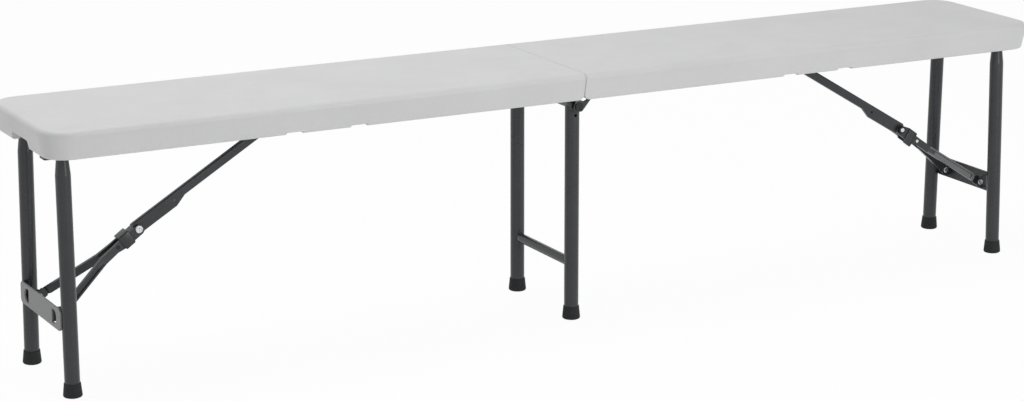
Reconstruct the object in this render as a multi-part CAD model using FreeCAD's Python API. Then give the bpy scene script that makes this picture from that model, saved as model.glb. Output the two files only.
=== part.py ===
import FreeCAD, Part
import math
import os

from FreeCAD import Vector

# A bench that folds in half. X runs along the bench, Y from front to back, Z up.
# The origin is on the floor under the middle of the seat. All sizes are in millimetres.

# Overall size
seat_length = 1830.0
seat_width = 284.0
seat_height = 425.0
skirt_depth = 45.0

# Seat moulding
skirt_lean = 11.0
corner_radius = 45.0
top_edge_radius = 8.0
lower_edge_radius = 3.5
rim_width = 12.0
panel_thickness = 8.0
pocket_seam_radius = 8.0
pocket_ceiling_radius = 3.0
seam_gap = 0.6
seam_corner_radius = 12.0
seam_edge_bevel = 1.2
grip_width = 78.0
grip_height = 14.0
grip_corner = 6.0
notch_width = 30.0
notch_height = 3.5
notch_pitch = 110.0
notch_corner = 2.5

# Round dimples that join the two skins of the panel from below
dimple_top_radius = 4.0
dimple_mouth_radius = 8.0
dimple_depth = 5.0
dimple_pitch = 68.0
dimple_rows = 3
dimple_row_pitch = 56.0
dimples_per_row = 12

# Side rails: an upright plate welded under a flat strip that is screwed to the panel
rail_thickness = 2.0
rail_side_gap = 8.5
rail_height = 30.0
rail_strip_width = 18.0
rail_end_clearance = 4.0
rail_corner_clearance = 1.0

# Centre hinge
hinge_drop = 14.0
hinge_plate_thickness = 2.5
hinge_boss_radius = 12.0
hinge_plate_reach = 66.0
hinge_plate_shoulder = 30.0
hinge_plate_margin = 4.0
hinge_plate_corner = 3.0
hinge_rivet_edge = 12.0
hinge_rivet_pitch = 20.0
hinge_rivet_rise = 15.0
axle_diameter = 10.0
axle_head_diameter = 15.0
axle_head_height = 2.0
axle_washer_diameter = 20.0
leg_washer_thickness = 2.4

# Leg tubes
tube_diameter = 24.0
tube_wall = 1.2
neck_diameter = 18.0
neck_drop = 47.0
neck_length = 30.0

# End leg frames
end_leg_inset = 42.0
end_leg_rail_gap = 26.0
end_leg_splay = 9.0
leg_pivot_drop = 25.0
pivot_tube_diameter = 20.0
pivot_tube_wall = 2.0
pivot_pin_diameter = 8.0
pivot_pin_head = 14.0
pivot_pin_head_height = 2.0
pivot_plug_length = 20.0
stop_tab_reach = 20.0
stop_tab_width = 24.0
stop_tab_corner = 3.0
stop_tab_thickness = 2.5
stop_tab_gap = 2.0

# Cross plate of an end leg frame, with two windows whose lugs are bent inwards
plate_thickness = 3.0
plate_height = 35.0
plate_z = 121.5
plate_corner = 8.0
lug_face = 52.0
lug_thickness = 2.5
lug_height = 22.0
window_length = 23.0
lug_pivot_reach = 13.0

# Middle leg frame
middle_leg_top = 8.0
crossbar_diameter = 16.0
crossbar_z = 96.0
sleeve_diameter = 16.0
crimp_hole_diameter = 5.0
crimp_hole_drop = 17.0
crimp_hole_depth = 3.0

# Foot caps
cap_height = 22.0
cap_base = 4.0
cap_mouth_diameter = 26.2
cap_floor_diameter = 30.0
cap_edge_radius = 3.0

# Braces
brace_hinge_inset = 189.0
brace_hinge_drop = 199.5
brace_rod_drop = 27.0
brace_rod_diameter = 10.0
brace_rod_head = 15.0
eye_diameter = 18.0
eye_length = 40.0
collar_diameter = 16.0
collar_width = 6.0
upper_arm_width = 10.0
upper_arm_height = 14.6
upper_arm_wall = 1.2
upper_arm_corner = 3.0
deep_part_height = 22.0
deep_part_rise = 0.5
deep_part_length = 72.0
deep_part_blend = 20.0
deep_part_nose = 3.0
arm_hole_diameter = 4.5
arm_hole_back = 73.0
tail_drop = 5.0
tail_rise = 9.0
lower_arm_height = 13.0
tongue_thickness = 4.0
tongue_height = 17.0
tongue_drop = 1.5
tongue_taper = 14.0
tongue_straight = 34.0
splay_start = 73.5
splay_start_reach = 13.5
lower_arm_width = 6.4
lower_arm_end_width = 7.4
groove_height = 7.0
groove_depth = 3.0
groove_run_in = 14.0
arm_tab_thickness = 2.5
arm_tab_length = 14.0
arm_tab_height = 16.0
arm_tab_corner = 2.0
brace_screw_diameter = 8.0
brace_screw_head = 12.5
brace_screw_head_height = 2.6
brace_screw_cross = 3.2
brace_nut_width = 13.0
brace_screw_end = 1.5
brace_nut_height = 4.0
lug_rivet_diameter = 6.0
lug_rivet_head = 10.0
lug_rivet_head_height = 2.2
arm_rivet_place = 43.0
arm_rivet_diameter = 3.0
arm_rivet_head = 6.0
arm_rivet_head_height = 1.3
arm_rivet_seat = 0.4

# Saddle on the tail of the upper arm, which the lower arms rest against when open
saddle_start = 16.0
saddle_length = 15.4
saddle_inner = 13.9
saddle_plate = 2.0
saddle_top_plate = 3.5
saddle_height = 28.0
saddle_corner = 4.0

# Screws and rivets
rail_screw_diameter = 4.0
rail_screw_head = 9.0
rail_screw_head_height = 2.5
rail_screw_grip = 6.0
rail_screw_count = 5
rail_screw_end = 60.0
hinge_rivet_diameter = 6.0
hinge_rivet_head = 11.0
hinge_rivet_head_height = 2.0

# Clearances
running_clearance = 0.05
side_clearance = 0.3

# Places that follow from the sizes above
half_length = seat_length / 2
half_width = seat_width / 2
lean_tangent = math.tan(math.radians(skirt_lean))
top_overhang = top_edge_radius * (lean_tangent + math.hypot(1, lean_tangent) - 1)
side_draft = skirt_depth * lean_tangent - top_overhang
skirt_bottom = seat_height - skirt_depth
panel_underside = seat_height - panel_thickness
pocket_side = half_width - side_draft - rim_width
pocket_end = half_length - side_draft - rim_width
pocket_corner = corner_radius - side_draft - rim_width
pocket_start = seam_gap / 2 + rim_width
tube_radius = tube_diameter / 2
rail_outer_face = pocket_side - rail_side_gap
rail_inner_face = rail_outer_face - rail_thickness
rail_top = panel_underside
rail_bottom = rail_top - rail_height
rail_start = pocket_start + rail_end_clearance
corner_offset = max(0.0, rail_outer_face - pocket_side + pocket_corner)
corner_run = pocket_corner - math.sqrt(pocket_corner**2 - corner_offset**2)
rail_end = pocket_end - corner_run - rail_corner_clearance
axle_z = skirt_bottom - hinge_drop
left_hinge_y = rail_inner_face - hinge_plate_thickness
right_hinge_y = rail_outer_face
axle_end = right_hinge_y + hinge_plate_thickness + side_clearance
middle_leg_y = left_hinge_y - leg_washer_thickness - 2 * side_clearance - tube_radius
neck_end = seat_height - neck_drop
neck_start = neck_end - neck_length
end_leg_x = half_length - end_leg_inset
end_leg_y_seat = rail_inner_face - end_leg_rail_gap
end_leg_y_floor = end_leg_y_seat + end_leg_splay
leg_pivot_z = seat_height - leg_pivot_drop
brace_hinge_x = half_length - brace_hinge_inset
brace_hinge_z = seat_height - brace_hinge_drop
brace_rod_z = seat_height - brace_rod_drop
plate_inner_x = end_leg_x + tube_radius
lug_pivot_x = plate_inner_x - lug_pivot_reach
tongue_inner = upper_arm_width / 2 + side_clearance
tongue_outer = tongue_inner + tongue_thickness
tongue_top = tongue_height / 2 - tongue_drop
saddle_underside = tongue_top + side_clearance
upper_arm_rise = deep_part_rise + (deep_part_height - upper_arm_height) / 2
arm_tab_face = lug_face - side_clearance - arm_tab_thickness
EPS = 1.0


def leg_spread(height):
    """Half the distance between the axes of an end frame's two legs at a height."""
    return end_leg_y_floor - end_leg_splay * height / skirt_bottom


def folded_lug():
    """Where the lug pivot lies when the end legs are folded flat."""
    x = end_leg_x + (plate_z - leg_pivot_z)
    z = leg_pivot_z + (end_leg_x - lug_pivot_x)
    return x, z


def brace_rod_place():
    """X of the brace rod for which both arms lie flat, one along the other, when folded."""
    fx, fz = folded_lug()
    lower = math.hypot(lug_pivot_x - brace_hinge_x, plate_z - brace_hinge_z)
    rise = brace_rod_z - brace_hinge_z
    drop = brace_rod_z - fz
    k0 = brace_hinge_x**2 - fx**2 + rise**2 - drop**2 + lower**2
    k1 = 2 * (brace_hinge_x - fx)
    a = k1**2 - 4 * lower**2
    b = 8 * lower**2 * brace_hinge_x - 2 * k0 * k1
    c = k0**2 - 4 * lower**2 * (brace_hinge_x**2 + rise**2)
    root = math.sqrt(b * b - 4 * a * c)
    both = [(-b - root) / (2 * a), (-b + root) / (2 * a)]
    return max(x for x in both if x < fx - lower / 2)


brace_rod_x = brace_rod_place()
upper_arm_length = math.hypot(brace_hinge_x - brace_rod_x, brace_rod_z - brace_hinge_z)
lower_arm_length = math.hypot(lug_pivot_x - brace_hinge_x, plate_z - brace_hinge_z)
upper_arm_angle = math.degrees(math.atan2(brace_hinge_z - brace_rod_z, brace_hinge_x - brace_rod_x))
lower_arm_angle = math.degrees(math.atan2(plate_z - brace_hinge_z, lug_pivot_x - brace_hinge_x))


def box(x0, x1, y0, y1, z0, z1):
    """A block between two corners."""
    return Part.makeBox(x1 - x0, y1 - y0, z1 - z0, Vector(x0, y0, z0))


def bar_y(radius, x, z, y0, y1):
    """A round bar along Y."""
    return Part.makeCylinder(radius, y1 - y0, Vector(x, y0, z), Vector(0, 1, 0))


def polygon_face(points):
    """A flat face with straight sides."""
    return Part.Face(Part.makePolygon(points + [points[0]]))


def rounded_outline(x0, x1, y0, y1, radii, z):
    """A closed outline with four rounded corners: right back, left back, left front, right front."""
    corners = [(x1, y1, -1, -1), (x0, y1, 1, -1), (x0, y0, 1, 1), (x1, y0, -1, 1)]
    edges = []
    ends = []
    for (cx, cy, sx, sy), r, start in zip(corners, radii, (0, 90, 180, 270)):
        centre = Vector(cx + sx * r, cy + sy * r, z)
        points = []
        for degrees in (start, start + 45, start + 90):
            a = math.radians(degrees)
            points.append(centre + Vector(r * math.cos(a), r * math.sin(a), 0))
        ends.append(points)
    for index, points in enumerate(ends):
        edges.append(Part.Arc(*points).toShape())
        following = ends[(index + 1) % 4]
        edges.append(Part.makeLine(points[2], following[0]))
    return Part.Wire(edges)


def rounded_block(x0, x1, y0, y1, radii, z0, z1):
    """An upright block with rounded corners in plan."""
    face = Part.Face(rounded_outline(x0, x1, y0, y1, radii, z0))
    return face.extrude(Vector(0, 0, z1 - z0))


def section_bar(width, height, radius, length):
    """A bar along X whose section is a rounded rectangle about the X axis."""
    block = rounded_block(-height / 2, height / 2, -width / 2, width / 2, [radius] * 4, 0, length)
    block.rotate(Vector(0, 0, 0), Vector(0, 1, 0), 90)
    return block


def turn(profile):
    """A solid turned about the Z axis from an outline in the XZ plane."""
    points = [Vector(r, 0, z) for r, z in profile]
    return polygon_face(points).revolve(Vector(0, 0, 0), Vector(0, 0, 1), 360)


def edges_where(shape, test):
    """The edges whose every sampled point passes the test."""
    chosen = []
    for edge in shape.Edges:
        first, last = edge.ParameterRange
        points = [edge.valueAt(first + (last - first) * t) for t in (0.0, 0.5, 1.0)]
        if all(test(p) for p in points):
            chosen.append(edge)
    return chosen


def mirrored(shape, normal):
    return shape.mirror(Vector(0, 0, 0), normal)


def to_left(shape):
    return mirrored(shape, Vector(1, 0, 0))


def to_front(shape):
    return mirrored(shape, Vector(0, 1, 0))


def half_turned(shape):
    return to_left(to_front(shape))


def lean(shape, spread_floor, spread_top, height):
    """Stands a piece made about the Z axis on its leg line, at the back of the right end."""
    angle = math.degrees(math.atan2(spread_floor - spread_top, height))
    shape.rotate(Vector(0, 0, 0), Vector(1, 0, 0), angle)
    shape.translate(Vector(0, spread_floor, 0))
    return shape


# Seat half


def seat_blank():
    """The whole seat before it is parted: leaning skirt, soft top edge and rounded corners."""
    lower = rounded_outline(
        -half_length + side_draft, half_length - side_draft,
        -half_width + side_draft, half_width - side_draft,
        [corner_radius - side_draft] * 4, skirt_bottom)
    upper = rounded_outline(
        -half_length - top_overhang, half_length + top_overhang,
        -half_width - top_overhang, half_width + top_overhang,
        [corner_radius + top_overhang] * 4, seat_height)
    blank = Part.makeLoft([lower, upper], True, True)
    top_edges = edges_where(blank, lambda p: abs(p.z - seat_height) < 0.01)
    blank = blank.makeFillet(top_edge_radius, top_edges)
    low_edges = edges_where(blank, lambda p: abs(p.z - skirt_bottom) < 0.01)
    return blank.makeFillet(lower_edge_radius, low_edges)


def pocket():
    """The hollow under one half of the seat, with a rounded ceiling edge."""
    radii = [pocket_corner, pocket_seam_radius, pocket_seam_radius, pocket_corner]
    block = rounded_block(
        pocket_start, pocket_end, -pocket_side, pocket_side, radii,
        skirt_bottom - EPS, panel_underside)
    ceiling = edges_where(block, lambda p: abs(p.z - panel_underside) < 0.01)
    return block.makeFillet(pocket_ceiling_radius, ceiling)


def rim_cut(width, height, radius, depth):
    """A cutter with two round upper corners, for an opening in the lower edge of a skirt, along X."""
    block = rounded_block(
        -height, height, -width / 2, width / 2, [radius] * 4, 0, depth)
    block.rotate(Vector(0, 0, 0), Vector(0, 1, 0), 90)
    return block


def seam_corner_cut():
    """What is taken off so that the lower corner at the seam is round."""
    r = seam_corner_radius
    x0 = seam_gap / 2
    block = box(x0 - EPS, x0 + r, -seat_width, seat_width, skirt_bottom - EPS, skirt_bottom + r)
    return block.cut(bar_y(r, x0 + r, skirt_bottom + r, -seat_width, seat_width))


def dimples():
    """Cutters for the rows of dimples in the pocket's ceiling."""
    cutters = []
    middle = (pocket_start + pocket_end) / 2
    for column in range(dimples_per_row):
        for row in range(dimple_rows):
            x = middle + (column - (dimples_per_row - 1) / 2) * dimple_pitch
            y = (row - (dimple_rows - 1) / 2) * dimple_row_pitch
            cutters.append(Part.makeCone(
                dimple_mouth_radius, dimple_top_radius, dimple_depth, Vector(x, y, panel_underside)))
    return cutters


def rail_screw_places():
    step = (rail_end - rail_start - 2 * rail_screw_end) / (rail_screw_count - 1)
    return [rail_start + rail_screw_end + step * i for i in range(rail_screw_count)]


rail_screw_y = rail_outer_face - rail_strip_width / 2


def make_seat():
    half = seat_blank().common(
        box(seam_gap / 2, seat_length, -seat_width, seat_width, 0, seat_height + EPS))
    half = half.makeChamfer(seam_edge_bevel, edges_where(
        half, lambda p: abs(p.x - seam_gap / 2) < 0.01 and p.z > skirt_bottom + seam_corner_radius))
    half = half.cut(seam_corner_cut())
    half = half.cut(pocket())
    grip = rim_cut(grip_width, grip_height, grip_corner, half_length - pocket_end + 2 * EPS)
    grip.translate(Vector(pocket_end - EPS, 0, skirt_bottom))
    cutters = [grip]
    centre = half_length / 2
    for x in (centre - notch_pitch / 2, centre + notch_pitch / 2):
        notch = rim_cut(notch_width, notch_height, notch_corner, seat_width)
        notch.rotate(Vector(0, 0, 0), Vector(0, 0, 1), 90)
        notch.translate(Vector(x, -half_width, skirt_bottom))
        cutters.append(notch)
    for x in rail_screw_places():
        for y in (-rail_screw_y, rail_screw_y):
            cutters.append(Part.makeCylinder(
                rail_screw_diameter / 2 + running_clearance, rail_screw_grip,
                Vector(x, y, panel_underside)))
    half = half.cut(cutters + dimples())
    return half.Solids[0]


# Side rails


def hinge_rivet_places():
    x = hinge_plate_reach - hinge_rivet_edge
    z = rail_bottom + hinge_rivet_rise
    return [(x, z), (x - hinge_rivet_pitch, z)]


def make_rail():
    """The upright plate of the back rail of the right half."""
    inner = rail_inner_face
    outer = rail_outer_face
    rail = box(rail_start, rail_end, inner, outer, rail_bottom, rail_top - rail_thickness)
    holes = [
        bar_y(pivot_pin_diameter / 2 + running_clearance, end_leg_x, leg_pivot_z, inner - EPS, outer + EPS),
        bar_y(brace_rod_diameter / 2, brace_rod_x, brace_rod_z, inner - EPS, outer + EPS)]
    for x, z in hinge_rivet_places():
        holes.append(bar_y(hinge_rivet_diameter / 2, x, z, inner - EPS, outer + EPS))
    return rail.cut(holes)


def make_rail_strips():
    """The flat strips on top of both rails of the right half."""
    under = rail_top - rail_thickness
    edge = rail_outer_face - rail_strip_width
    strip = box(rail_start, rail_end, edge, rail_outer_face, under, rail_top)
    holes = []
    for x in rail_screw_places():
        holes.append(Part.makeCylinder(
            rail_screw_diameter / 2 + running_clearance, rail_thickness + 2 * EPS,
            Vector(x, rail_screw_y, under - EPS)))
    strip = strip.cut(holes)
    return Part.makeCompound([strip, to_front(strip)])


def make_rail_screws():
    """The screws of both rails of the right half."""
    screws = []
    for x in rail_screw_places():
        for y in (-rail_screw_y, rail_screw_y):
            under = rail_top - rail_thickness
            head = Part.makeCylinder(
                rail_screw_head / 2, rail_screw_head_height, Vector(x, y, under - rail_screw_head_height))
            rim = edges_where(head, lambda p: abs(p.z - under + rail_screw_head_height) < 0.01)
            head = head.makeFillet(rail_screw_head_height / 2, rim)
            shank = Part.makeCylinder(
                rail_screw_diameter / 2, rail_thickness + rail_screw_grip, Vector(x, y, under))
            screws.append(head.fuse(shank).removeSplitter())
    return Part.makeCompound(screws)


# Centre hinge


def make_hinge_plate(inner_y):
    """A back hinge plate of the right half: a boss on the axle and a wing riveted to the rail."""
    r = hinge_boss_radius
    top = rail_top - rail_thickness - hinge_plate_margin
    low = rail_bottom + hinge_plate_margin / 2
    shoulder = hinge_plate_shoulder
    outline = [
        (-0.9 * r, axle_z - 0.6 * r), (-0.6 * r, axle_z - 0.96 * r), (r, axle_z - 0.96 * r),
        (r + shoulder, low), (hinge_plate_reach, low), (hinge_plate_reach, top), (shoulder, top),
        (shoulder, skirt_bottom), (1.7 * r, axle_z + 0.45 * r), (0.9 * r, axle_z + 0.3 * r),
        (0.5 * r, axle_z + 0.85 * r), (-0.5 * r, axle_z + 0.85 * r), (-r, axle_z)]
    face = polygon_face([Vector(x, inner_y, z) for x, z in outline])
    plate = face.extrude(Vector(0, hinge_plate_thickness, 0))
    wing = edges_where(plate, lambda p: p.z > top - 0.01 or p.x > r + shoulder - 0.01)
    across = [e for e in wing if abs(e.Vertexes[0].Y - e.Vertexes[1].Y) > 1.0]
    plate = plate.makeFillet(hinge_plate_corner, across)
    y0 = inner_y - EPS
    y1 = inner_y + hinge_plate_thickness + EPS
    holes = [bar_y(axle_diameter / 2 + running_clearance, 0, axle_z, y0, y1)]
    for x, z in hinge_rivet_places():
        holes.append(bar_y(hinge_rivet_diameter / 2, x, z, y0, y1))
    return plate.cut(holes)


def make_hinge_rivets(inner_y):
    """Rivets through a back and a front hinge plate and their rails, on the right half."""
    rivets = []
    y0 = min(inner_y, rail_inner_face)
    y1 = max(inner_y + hinge_plate_thickness, rail_outer_face)
    for x, z in hinge_rivet_places():
        shank = bar_y(hinge_rivet_diameter / 2, x, z, y0, y1)
        heads = []
        for start in (y0 - hinge_rivet_head_height, y1):
            heads.append(bar_y(hinge_rivet_head / 2, x, z, start, start + hinge_rivet_head_height))
        rivet = shank.fuse(heads).removeSplitter()
        ends = edges_where(rivet, lambda p: p.y < y0 - hinge_rivet_head_height + 0.01
                           or p.y > y1 + hinge_rivet_head_height - 0.01)
        rivet = rivet.makeFillet(hinge_rivet_head_height * 0.6, ends)
        rivets += [rivet, to_front(rivet)]
    return Part.makeCompound(rivets)


def make_axle():
    """The rod that both halves and the middle legs turn on, with a flat head at each end."""
    shape = bar_y(axle_diameter / 2, 0, axle_z, -axle_end, axle_end)
    for y in (-axle_end - axle_head_height, axle_end):
        shape = shape.fuse(bar_y(axle_head_diameter / 2, 0, axle_z, y, y + axle_head_height))
    shape = shape.removeSplitter()
    last = axle_end + axle_head_height
    return shape.makeFillet(axle_head_height * 0.6, edges_where(shape, lambda p: abs(p.y) > last - 0.01))


def make_axle_washers():
    """Washers on the axle that fill the space between the plates, and beside the middle legs."""
    washers = []
    spaces = [
        (left_hinge_y + hinge_plate_thickness, right_hinge_y),
        (middle_leg_y + tube_radius, left_hinge_y)]
    for start, end in spaces:
        outer = bar_y(axle_washer_diameter / 2, 0, axle_z, start + side_clearance, end - side_clearance)
        washer = outer.cut(bar_y(axle_diameter / 2 + running_clearance, 0, axle_z, start, end))
        washers += [washer, to_front(washer)]
    return Part.makeCompound(washers)


# Legs and feet


def leg_form(bottom, top, wall):
    """An end leg about the Z axis, less a wall all round: a tube drawn down to a thinner neck."""
    r = tube_radius - wall
    neck = neck_diameter / 2 - wall
    return turn([(0, bottom), (r, bottom), (r, neck_start), (neck, neck_end), (neck, top), (0, top)])


def make_end_leg():
    """The back leg of the right end frame, coped onto the pivot tube."""
    leg = leg_form(cap_base, leg_pivot_z, 0)
    leg = leg.cut(leg_form(cap_base - EPS, leg_pivot_z + EPS, tube_wall))
    leg = lean(leg, leg_spread(0), leg_spread(skirt_bottom), skirt_bottom)
    leg.translate(Vector(end_leg_x, 0, 0))
    leg = leg.cut(bar_y(pivot_tube_diameter / 2, end_leg_x, leg_pivot_z, 0, seat_width))
    return leg.Solids[0]


def foot_cap():
    """A rubber cap about the Z axis: a tapered cup with a rounded foot."""
    r0 = cap_floor_diameter / 2
    r1 = cap_mouth_diameter / 2
    bore = tube_radius
    outline = [
        (0, -EPS), (r0 - cap_edge_radius, -EPS), (r0 - cap_edge_radius, 0), (r0, cap_edge_radius),
        (r1, cap_height), (bore, cap_height), (bore, cap_base), (0, cap_base)]
    wire = []
    points = [Vector(r, 0, z) for r, z in outline]
    for index, start in enumerate(points):
        end = points[(index + 1) % len(points)]
        if index == 2:
            bend = cap_edge_radius * (1 - math.sqrt(0.5))
            middle = Vector(r0 - bend, 0, bend)
            wire.append(Part.Arc(start, middle, end).toShape())
        else:
            wire.append(Part.makeLine(start, end))
    return Part.Face(Part.Wire(wire)).revolve(Vector(0, 0, 0), Vector(0, 0, 1), 360)


def above_floor(shape):
    return shape.common(box(-seat_length, seat_length, -seat_width, seat_width, 0, seat_height))


def make_end_foot():
    foot = lean(foot_cap(), leg_spread(0), leg_spread(skirt_bottom), skirt_bottom)
    foot.translate(Vector(end_leg_x, 0, 0))
    return above_floor(foot)


def make_pivot_tube():
    """The cross tube at the top of an end frame, with open ends for the pin plugs."""
    end = rail_inner_face - side_clearance
    radius = pivot_tube_diameter / 2
    tube = bar_y(radius, end_leg_x, leg_pivot_z, -end, end)
    return tube.cut(bar_y(radius - pivot_tube_wall, end_leg_x, leg_pivot_z, -seat_width, seat_width))


def make_pivot_pins():
    """Plugs in the ends of the pivot tube, with a journal through the rail and a riveted head."""
    plug_radius = pivot_tube_diameter / 2 - pivot_tube_wall
    end = rail_inner_face - side_clearance
    shape = bar_y(plug_radius, end_leg_x, leg_pivot_z, end - pivot_plug_length, end)
    head_start = rail_outer_face + side_clearance
    shape = shape.fuse(bar_y(pivot_pin_diameter / 2, end_leg_x, leg_pivot_z, end, head_start))
    head = bar_y(pivot_pin_head / 2, end_leg_x, leg_pivot_z, head_start, head_start + pivot_pin_head_height)
    shape = shape.fuse(head).removeSplitter()
    return Part.makeCompound([shape, to_front(shape)])


def make_stop_tabs():
    """The tab on the back right leg that comes up against the skirt when the legs are open."""
    top = skirt_bottom - stop_tab_gap
    middle = leg_spread(top)
    block = rounded_block(
        end_leg_x, plate_inner_x + stop_tab_reach, middle - stop_tab_width / 2, middle + stop_tab_width / 2,
        [stop_tab_corner] * 4, top - stop_tab_thickness, top)
    leg = lean(leg_form(0, leg_pivot_z, 0), leg_spread(0), leg_spread(skirt_bottom), skirt_bottom)
    leg.translate(Vector(end_leg_x, 0, 0))
    tab = block.cut(leg)
    return max(tab.Solids, key=lambda s: s.Volume)


def window_outline(face_x):
    """The D-shaped opening of the back window, as a face across X."""
    r = lug_height / 2
    straight = lug_face
    centre = lug_face + window_length - r
    low = Vector(face_x, straight, plate_z - r)
    high = Vector(face_x, straight, plate_z + r)
    arc_low = Vector(face_x, centre, plate_z - r)
    arc_high = Vector(face_x, centre, plate_z + r)
    tip = Vector(face_x, centre + r, plate_z)
    wire = Part.Wire([
        Part.makeLine(low, arc_low), Part.Arc(arc_low, tip, arc_high).toShape(),
        Part.makeLine(arc_high, high), Part.makeLine(high, low)])
    return Part.Face(wire)


def make_cross_plate():
    """The pressed plate on the outer side of an end frame, with its windows and bent lugs."""
    reach = leg_spread(plate_z)
    plate = rounded_block(
        -plate_height / 2, plate_height / 2, -reach, reach, [plate_corner] * 4, 0, plate_thickness)
    plate.rotate(Vector(0, 0, 0), Vector(0, 1, 0), 90)
    plate.translate(Vector(plate_inner_x, 0, plate_z))
    window = window_outline(plate_inner_x - EPS).extrude(Vector(plate_thickness + 2 * EPS, 0, 0))
    plate = plate.cut([window, to_front(window)])
    lug = window_outline(0).extrude(Vector(lug_thickness, 0, 0))
    lug.rotate(Vector(0, lug_face, plate_z), Vector(0, 0, 1), 90)
    lug.translate(Vector(plate_inner_x + plate_thickness, 0, 0))
    hole = bar_y(lug_rivet_diameter / 2, lug_pivot_x, plate_z, 0, seat_width)
    lug = lug.cut(hole)
    return plate.fuse([lug, to_front(lug)]).removeSplitter()


def make_middle_leg():
    """The back leg of the middle frame, drilled for the axle."""
    top = axle_z + middle_leg_top
    leg = Part.makeCylinder(tube_radius, top - cap_base, Vector(0, 0, cap_base))
    leg = leg.cut(Part.makeCylinder(tube_radius - tube_wall, top))
    leg.translate(Vector(0, middle_leg_y, 0))
    leg = leg.cut(bar_y(axle_diameter / 2 + running_clearance, 0, axle_z, 0, seat_width))
    outside = middle_leg_y + tube_radius
    crimp = bar_y(crimp_hole_diameter / 2, 0, axle_z - crimp_hole_drop,
                   outside - crimp_hole_depth, outside + EPS)
    return leg.cut(crimp)


def make_middle_foot():
    foot = foot_cap()
    foot.translate(Vector(0, middle_leg_y, 0))
    return above_floor(foot)


def middle_cross_piece(radius, z, bore):
    """A cross piece between the middle legs, coped onto both tubes."""
    reach = middle_leg_y
    piece = bar_y(radius, 0, z, -reach, reach)
    cutters = [bar_y(bore, 0, z, -reach - EPS, reach + EPS)]
    for y in (-reach, reach):
        cutters.append(Part.makeCylinder(tube_radius, seat_height, Vector(0, y, 0)))
    piece = piece.cut(cutters)
    return max(piece.Solids, key=lambda s: s.Volume)


def make_crossbar():
    return middle_cross_piece(crossbar_diameter / 2, crossbar_z, crossbar_diameter / 2 - tube_wall)


def make_sleeve():
    return middle_cross_piece(sleeve_diameter / 2, axle_z, axle_diameter / 2 + running_clearance)


# Braces


def place_arm(shape, angle, x, z):
    """Turns a piece made along X to an arm's angle and moves it to the arm's end."""
    shape.rotate(Vector(0, 0, 0), Vector(0, 1, 0), -angle)
    shape.translate(Vector(x, 0, z))
    return shape


def section_wire(width, height, radius, x, rise):
    """A rounded rectangle across X, about a line that lies above the X axis by a rise."""
    wire = rounded_outline(-height / 2, height / 2, -width / 2, width / 2, [radius] * 4, 0)
    wire.rotate(Vector(0, 0, 0), Vector(0, 1, 0), 90)
    wire.translate(Vector(x, 0, rise))
    return wire


def make_saddle():
    """The bent saddle over both lower arms: a top plate and two sides, open below."""
    top = saddle_underside + saddle_top_plate
    low = top - saddle_height
    reach = saddle_inner + saddle_plate
    block = box(saddle_start, saddle_start + saddle_length, -reach, reach, low, top)
    shoulders = edges_where(block, lambda p: abs(p.y) > reach - 0.01 and p.z > top - 0.01)
    block = block.makeFillet(saddle_plate, shoulders)
    corners = edges_where(block, lambda p: p.z < low + 0.01 and (
        p.x < saddle_start + 0.01 or p.x > saddle_start + saddle_length - 0.01))
    block = block.makeFillet(saddle_corner, corners)
    hollow = box(0, seat_width, -saddle_inner, saddle_inner, low - EPS, saddle_underside)
    return place_arm(block.cut(hollow), lower_arm_angle, brace_hinge_x, brace_hinge_z)


def make_upper_arm():
    """The upper arm: an eye on the rod, a slim tube, a deeper flattened end and a tail past the hinge."""
    deep_start = upper_arm_length - deep_part_length
    blend_start = deep_start - deep_part_blend
    slim = section_bar(upper_arm_width, upper_arm_height, upper_arm_corner, blend_start)
    slim.translate(Vector(0, 0, upper_arm_rise))
    blend = Part.makeLoft([
        section_wire(upper_arm_width, upper_arm_height, upper_arm_corner, blend_start, upper_arm_rise),
        section_wire(upper_arm_width, deep_part_height, upper_arm_corner, deep_start, deep_part_rise)],
        True, True)
    deep = section_bar(
        upper_arm_width, deep_part_height, upper_arm_corner, deep_part_length + deep_part_nose)
    deep.translate(Vector(deep_start, 0, deep_part_rise))
    tail_end = upper_arm_length + saddle_start + saddle_length
    half = upper_arm_width / 2
    tail = box(upper_arm_length, tail_end, -half, half, -tail_drop, tail_rise)
    eye = bar_y(eye_diameter / 2, 0, 0, -eye_length / 2, eye_length / 2)
    arm = slim.fuse([blend, deep, tail, eye])
    inside = section_bar(
        upper_arm_width - 2 * upper_arm_wall, upper_arm_height - 2 * upper_arm_wall,
        upper_arm_corner - upper_arm_wall, blend_start - eye_diameter)
    inside.translate(Vector(eye_diameter, 0, upper_arm_rise))
    bores = [
        bar_y(brace_rod_diameter / 2 + running_clearance, 0, 0, -eye_length, eye_length),
        bar_y(arm_hole_diameter / 2, upper_arm_length - arm_hole_back, 0, -seat_width, seat_width),
        bar_y(brace_screw_diameter / 2, upper_arm_length, 0, -seat_width, seat_width)]
    arm = arm.cut([inside] + bores).removeSplitter()
    arm = place_arm(arm, upper_arm_angle, brace_rod_x, brace_rod_z)
    trim = box(deep_part_nose + EPS, seat_width, -half - EPS, half + EPS, saddle_underside, seat_width)
    arm = arm.cut(place_arm(trim, lower_arm_angle, brace_hinge_x, brace_hinge_z))
    return max(arm.Solids, key=lambda s: s.Volume)


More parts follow.
